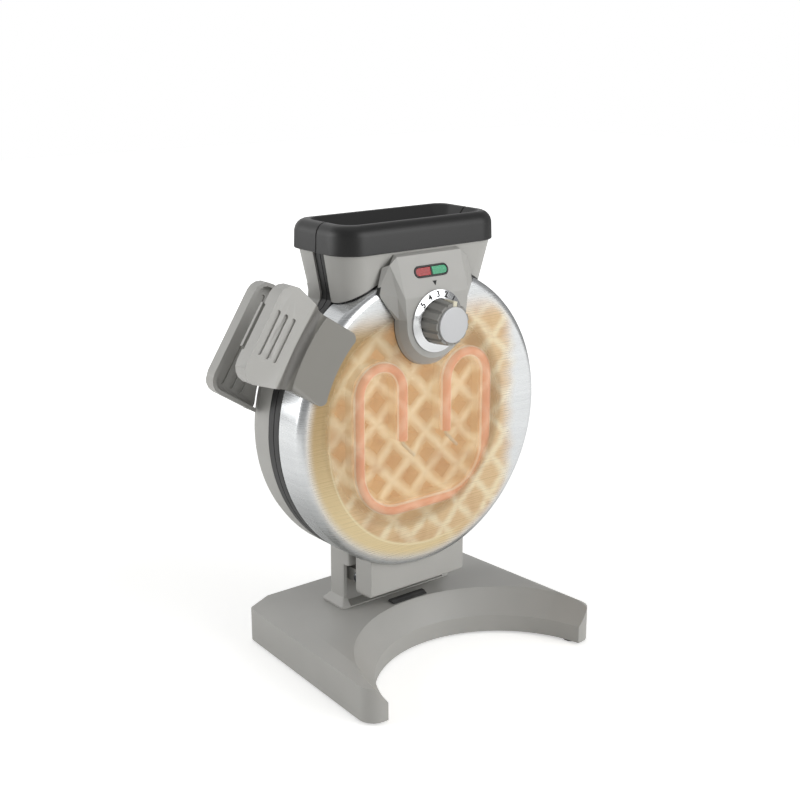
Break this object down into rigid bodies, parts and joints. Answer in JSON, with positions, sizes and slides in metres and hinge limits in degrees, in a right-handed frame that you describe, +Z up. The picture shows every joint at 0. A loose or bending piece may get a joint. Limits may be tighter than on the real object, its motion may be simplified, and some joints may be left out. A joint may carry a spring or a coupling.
{
  "type": "vertical waffle maker",
  "caption": "Upright round waffle maker: a fixed rear half on a base, a front half that folds down on a hinge, a batter funnel on top, a browning dial and a side latch.",
  "frame": {"origin": "middle of the footprint of the closed waffle maker, on the surface its feet stand on", "axes": "+Z up, front (dial and steel cover) towards -Y, handles towards -X"},
  "size_m": [0.287, 0.1808, 0.354],
  "materials": {
    "grey_moulding": "fine spark-eroded texture, satin",
    "black_moulding": "fine satin",
    "brushed_steel": "brushed level",
    "pale_cap": "smooth satin",
    "marker_moulding": "smooth",
    "cast_plate": "coated casting, satin",
    "heater_sheath": "drawn tube, satin",
    "ceramic": "smooth, pale",
    "black_rubber": "matt",
    "zinc_steel": "zinc plated",
    "red_lens": "clear tinted",
    "green_lens": "clear tinted"
  },
  "bodies": {
    "base": {"base_shell": "grey_moulding", "base_cover": "grey_moulding", "pedestal": "grey_moulding", "rear_cover": "grey_moulding", "rear_handle": "grey_moulding", "rear_frame": "black_moulding", "rear_collar": "black_moulding", "rear_grid_plate": "cast_plate", "rear_heating_element": "heater_sheath", "thermal_cutout": "ceramic", "foot_rear_left": "black_rubber", "foot_rear_right": "black_rubber", "foot_front_left": "black_rubber", "foot_front_right": "black_rubber", "stop_pad": "black_rubber", "cord_gland": "black_rubber", "foot_screw_rear_left": "zinc_steel", "foot_screw_rear_right": "zinc_steel", "foot_screw_front_left": "zinc_steel", "foot_screw_front_right": "zinc_steel", "pedestal_screw_left": "zinc_steel", "pedestal_screw_right": "zinc_steel", "rear_cover_screw_left": "zinc_steel", "rear_cover_screw_right": "zinc_steel", "hinge_pin": "zinc_steel", "hinge_screw_left": "zinc_steel", "hinge_screw_right": "zinc_steel", "rear_plate_screw_1": "zinc_steel", "rear_plate_screw_2": "zinc_steel", "rear_plate_screw_3": "zinc_steel", "rear_handle_screw_1": "zinc_steel", "rear_handle_screw_2": "zinc_steel"},
    "front_half": {"hinge_block": "grey_moulding", "front_cover_screw_left": "zinc_steel", "front_cover_screw_right": "zinc_steel", "front_frame": "black_moulding", "front_grid_plate": "cast_plate", "front_heating_element": "heater_sheath", "front_plate_screw_1": "zinc_steel", "front_plate_screw_2": "zinc_steel", "front_plate_screw_3": "zinc_steel", "front_cover": "brushed_steel", "front_spout_shell": "grey_moulding", "front_collar": "black_moulding", "indicator_bezel": "black_moulding", "red_lens": "red_lens", "green_lens": "green_lens", "lamp_board": "ceramic", "thermostat": "zinc_steel", "latch_pin": "zinc_steel", "front_handle": "grey_moulding", "front_handle_screw_1": "zinc_steel", "front_handle_screw_2": "zinc_steel"},
    "browning_knob": {"dial_skirt": "brushed_steel", "knob_grip": "grey_moulding", "knob_marker": "marker_moulding", "knob_cap": "pale_cap", "thermostat_shaft": "zinc_steel"},
    "latch": {"latch": "grey_moulding"}
  },
  "joints": [
    {"name": "front_hinge", "type": "hinge", "parent": "base", "child": "front_half", "pos_m": [0.02351, 0.021, 0.062], "axis": [1, 0, 0], "range_deg": [0, 86]},
    {"name": "browning_knob", "type": "hinge", "parent": "front_half", "child": "browning_knob", "pos_m": [0.02351, -0.0344, 0.278], "axis": [0, 1, 0], "range_deg": [-45, 45]},
    {"name": "latch_pivot", "type": "hinge", "parent": "front_half", "child": "latch", "pos_m": [-0.09928, -0.007, 0.27399], "axis": [0.541, 0, 0.841], "range_deg": [0, 5], "stiffness_Nm_per_rad": 0.4, "springref_deg": -5.73}
  ]
}
